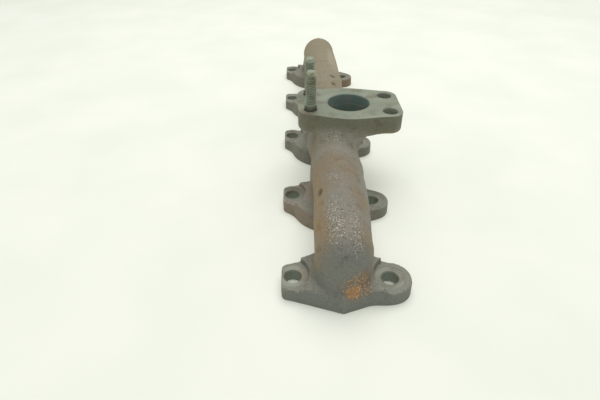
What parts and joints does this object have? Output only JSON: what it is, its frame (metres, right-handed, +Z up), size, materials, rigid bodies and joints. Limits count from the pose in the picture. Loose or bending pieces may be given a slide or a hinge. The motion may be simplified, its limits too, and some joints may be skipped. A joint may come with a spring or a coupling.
{
  "type": "exhaust manifold",
  "caption": "Cast-iron log exhaust manifold: a round log tube over a row of bolted port flanges, with a studded turbocharger flange on a leaning neck.",
  "frame": {"origin": "middle of the part's box in plan, on the head face that it lies on", "axes": "+Z up from the head face to the turbocharger flange, +Y along the row of ports away from the picture's camera, +X towards the turbocharger flange's open holes"},
  "size_m": [0.09, 0.392, 0.094],
  "materials": {
    "cast_iron": "rough sand-cast skin, heat-browned and rusted in places, machined on its faces",
    "stud_steel": "threaded, oxidised dark"
  },
  "bodies": {
    "root": {"manifold_casting": "cast_iron", "front_turbo_stud": "stud_steel", "rear_turbo_stud": "stud_steel"}
  },
  "joints": []
}
